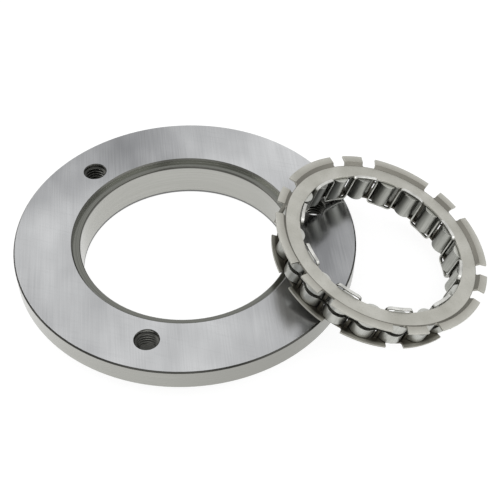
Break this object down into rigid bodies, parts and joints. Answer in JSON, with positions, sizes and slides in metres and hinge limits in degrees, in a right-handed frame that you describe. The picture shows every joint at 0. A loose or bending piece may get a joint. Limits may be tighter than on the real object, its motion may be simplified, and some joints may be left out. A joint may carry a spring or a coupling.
{
  "type": "starter clutch outer race with sprag clutch",
  "caption": "Ground steel outer race ring with tapped holes and a recessed bore, and the tabbed sprag one-way clutch that works in it, leaning on its edge.",
  "frame": {"origin": "centre of the bolt circle on the race's ground face", "axes": "+Z out of the ground face, +X towards the side on which the clutch leans"},
  "size_m": [0.1639, 0.12, 0.0342],
  "materials": {
    "race_steel": "ground steel",
    "cage_steel": "tumbled sheet steel",
    "sprag_steel": "barrelled bearing steel",
    "strip_steel": "bright spring strip",
    "garter_steel": "oil-blackened spring wire"
  },
  "bodies": {
    "race": {"outer_race": "race_steel"},
    "clutch": {"front_retainer": "cage_steel", "rear_retainer": "cage_steel", "meander_spring": "strip_steel", "garter_spring": "garter_steel"},
    "sprag_01": {"sprag_01": "sprag_steel"},
    "sprag_02": {"sprag_02": "sprag_steel"},
    "sprag_03": {"sprag_03": "sprag_steel"},
    "sprag_04": {"sprag_04": "sprag_steel"},
    "sprag_05": {"sprag_05": "sprag_steel"},
    "sprag_06": {"sprag_06": "sprag_steel"},
    "sprag_07": {"sprag_07": "sprag_steel"},
    "sprag_08": {"sprag_08": "sprag_steel"},
    "sprag_09": {"sprag_09": "sprag_steel"},
    "sprag_10": {"sprag_10": "sprag_steel"},
    "sprag_11": {"sprag_11": "sprag_steel"},
    "sprag_12": {"sprag_12": "sprag_steel"},
    "sprag_13": {"sprag_13": "sprag_steel"},
    "sprag_14": {"sprag_14": "sprag_steel"},
    "sprag_15": {"sprag_15": "sprag_steel"},
    "sprag_16": {"sprag_16": "sprag_steel"},
    "sprag_17": {"sprag_17": "sprag_steel"},
    "sprag_18": {"sprag_18": "sprag_steel"},
    "sprag_19": {"sprag_19": "sprag_steel"},
    "sprag_20": {"sprag_20": "sprag_steel"}
  },
  "joints": [
    {"name": "clutch_lift", "type": "slide", "parent": "race", "child": "clutch", "axis": [0, 0, 1], "range_m": [0, 0.06]},
    {"name": "sprag_01_rock", "type": "hinge", "parent": "clutch", "child": "sprag_01", "pos_m": [0.09412, -0.02287, -0.00743], "axis": [0.2882, -0.066, 0.9553], "range_deg": [0, 4], "stiffness_Nm_per_rad": 0.002, "springref_deg": -2.86},
    {"name": "sprag_02_rock", "type": "hinge", "parent": "clutch", "child": "sprag_02", "pos_m": [0.09524, -0.01306, -0.00709], "axis": [0.2882, -0.066, 0.9553], "range_deg": [0, 4], "stiffness_Nm_per_rad": 0.002, "springref_deg": -2.86},
    {"name": "sprag_03_rock", "type": "hinge", "parent": "clutch", "child": "sprag_03", "pos_m": [0.09341, -0.00343, -0.00587], "axis": [0.2882, -0.066, 0.9553], "range_deg": [0, 4], "stiffness_Nm_per_rad": 0.002, "springref_deg": -2.86},
    {"name": "sprag_04_rock", "type": "hinge", "parent": "clutch", "child": "sprag_04", "pos_m": [0.08879, 0.00508, -0.00389], "axis": [0.2882, -0.066, 0.9553], "range_deg": [0, 4], "stiffness_Nm_per_rad": 0.002, "springref_deg": -2.86},
    {"name": "sprag_05_rock", "type": "hinge", "parent": "clutch", "child": "sprag_05", "pos_m": [0.08185, 0.01163, -0.00134], "axis": [0.2882, -0.066, 0.9553], "range_deg": [0, 4], "stiffness_Nm_per_rad": 0.002, "springref_deg": -2.86},
    {"name": "sprag_06_rock", "type": "hinge", "parent": "clutch", "child": "sprag_06", "pos_m": [0.07326, 0.01559, 0.00152], "axis": [0.2882, -0.066, 0.9553], "range_deg": [0, 4], "stiffness_Nm_per_rad": 0.002, "springref_deg": -2.86},
    {"name": "sprag_07_rock", "type": "hinge", "parent": "clutch", "child": "sprag_07", "pos_m": [0.06387, 0.01656, 0.00443], "axis": [0.2882, -0.066, 0.9553], "range_deg": [0, 4], "stiffness_Nm_per_rad": 0.002, "springref_deg": -2.86},
    {"name": "sprag_08_rock", "type": "hinge", "parent": "clutch", "child": "sprag_08", "pos_m": [0.05459, 0.01446, 0.00708], "axis": [0.2882, -0.066, 0.9553], "range_deg": [0, 4], "stiffness_Nm_per_rad": 0.002, "springref_deg": -2.86},
    {"name": "sprag_09_rock", "type": "hinge", "parent": "clutch", "child": "sprag_09", "pos_m": [0.04633, 0.00948, 0.00923], "axis": [0.2882, -0.066, 0.9553], "range_deg": [0, 4], "stiffness_Nm_per_rad": 0.002, "springref_deg": -2.86},
    {"name": "sprag_10_rock", "type": "hinge", "parent": "clutch", "child": "sprag_10", "pos_m": [0.0399, 0.00212, 0.01066], "axis": [0.2882, -0.066, 0.9553], "range_deg": [0, 4], "stiffness_Nm_per_rad": 0.002, "springref_deg": -2.86},
    {"name": "sprag_11_rock", "type": "hinge", "parent": "clutch", "child": "sprag_11", "pos_m": [0.03593, -0.00691, 0.01123], "axis": [0.2882, -0.066, 0.9553], "range_deg": [0, 4], "stiffness_Nm_per_rad": 0.002, "springref_deg": -2.86},
    {"name": "sprag_12_rock", "type": "hinge", "parent": "clutch", "child": "sprag_12", "pos_m": [0.03481, -0.01673, 0.01089], "axis": [0.2882, -0.066, 0.9553], "range_deg": [0, 4], "stiffness_Nm_per_rad": 0.002, "springref_deg": -2.86},
    {"name": "sprag_13_rock", "type": "hinge", "parent": "clutch", "child": "sprag_13", "pos_m": [0.03665, -0.02636, 0.00967], "axis": [0.2882, -0.066, 0.9553], "range_deg": [0, 4], "stiffness_Nm_per_rad": 0.002, "springref_deg": -2.86},
    {"name": "sprag_14_rock", "type": "hinge", "parent": "clutch", "child": "sprag_14", "pos_m": [0.04126, -0.03487, 0.00769], "axis": [0.2882, -0.066, 0.9553], "range_deg": [0, 4], "stiffness_Nm_per_rad": 0.002, "springref_deg": -2.86},
    {"name": "sprag_15_rock", "type": "hinge", "parent": "clutch", "child": "sprag_15", "pos_m": [0.0482, -0.04142, 0.00515], "axis": [0.2882, -0.066, 0.9553], "range_deg": [0, 4], "stiffness_Nm_per_rad": 0.002, "springref_deg": -2.86},
    {"name": "sprag_16_rock", "type": "hinge", "parent": "clutch", "child": "sprag_16", "pos_m": [0.05679, -0.04538, 0.00228], "axis": [0.2882, -0.066, 0.9553], "range_deg": [0, 4], "stiffness_Nm_per_rad": 0.002, "springref_deg": -2.86},
    {"name": "sprag_17_rock", "type": "hinge", "parent": "clutch", "child": "sprag_17", "pos_m": [0.06618, -0.04635, -0.00062], "axis": [0.2882, -0.066, 0.9553], "range_deg": [0, 4], "stiffness_Nm_per_rad": 0.002, "springref_deg": -2.86},
    {"name": "sprag_18_rock", "type": "hinge", "parent": "clutch", "child": "sprag_18", "pos_m": [0.07546, -0.04424, -0.00328], "axis": [0.2882, -0.066, 0.9553], "range_deg": [0, 4], "stiffness_Nm_per_rad": 0.002, "springref_deg": -2.86},
    {"name": "sprag_19_rock", "type": "hinge", "parent": "clutch", "child": "sprag_19", "pos_m": [0.08372, -0.03927, -0.00542], "axis": [0.2882, -0.066, 0.9553], "range_deg": [0, 4], "stiffness_Nm_per_rad": 0.002, "springref_deg": -2.86},
    {"name": "sprag_20_rock", "type": "hinge", "parent": "clutch", "child": "sprag_20", "pos_m": [0.09015, -0.0319, -0.00685], "axis": [0.2882, -0.066, 0.9553], "range_deg": [0, 4], "stiffness_Nm_per_rad": 0.002, "springref_deg": -2.86}
  ],
  "couplings": [
    {"joint": "sprag_02_rock", "follows": "sprag_01_rock", "ratio": 1},
    {"joint": "sprag_03_rock", "follows": "sprag_01_rock", "ratio": 1},
    {"joint": "sprag_04_rock", "follows": "sprag_01_rock", "ratio": 1},
    {"joint": "sprag_05_rock", "follows": "sprag_01_rock", "ratio": 1},
    {"joint": "sprag_06_rock", "follows": "sprag_01_rock", "ratio": 1},
    {"joint": "sprag_07_rock", "follows": "sprag_01_rock", "ratio": 1},
    {"joint": "sprag_08_rock", "follows": "sprag_01_rock", "ratio": 1},
    {"joint": "sprag_09_rock", "follows": "sprag_01_rock", "ratio": 1},
    {"joint": "sprag_10_rock", "follows": "sprag_01_rock", "ratio": 1},
    {"joint": "sprag_11_rock", "follows": "sprag_01_rock", "ratio": 1},
    {"joint": "sprag_12_rock", "follows": "sprag_01_rock", "ratio": 1},
    {"joint": "sprag_13_rock", "follows": "sprag_01_rock", "ratio": 1},
    {"joint": "sprag_14_rock", "follows": "sprag_01_rock", "ratio": 1},
    {"joint": "sprag_15_rock", "follows": "sprag_01_rock", "ratio": 1},
    {"joint": "sprag_16_rock", "follows": "sprag_01_rock", "ratio": 1},
    {"joint": "sprag_17_rock", "follows": "sprag_01_rock", "ratio": 1},
    {"joint": "sprag_18_rock", "follows": "sprag_01_rock", "ratio": 1},
    {"joint": "sprag_19_rock", "follows": "sprag_01_rock", "ratio": 1},
    {"joint": "sprag_20_rock", "follows": "sprag_01_rock", "ratio": 1}
  ]
}
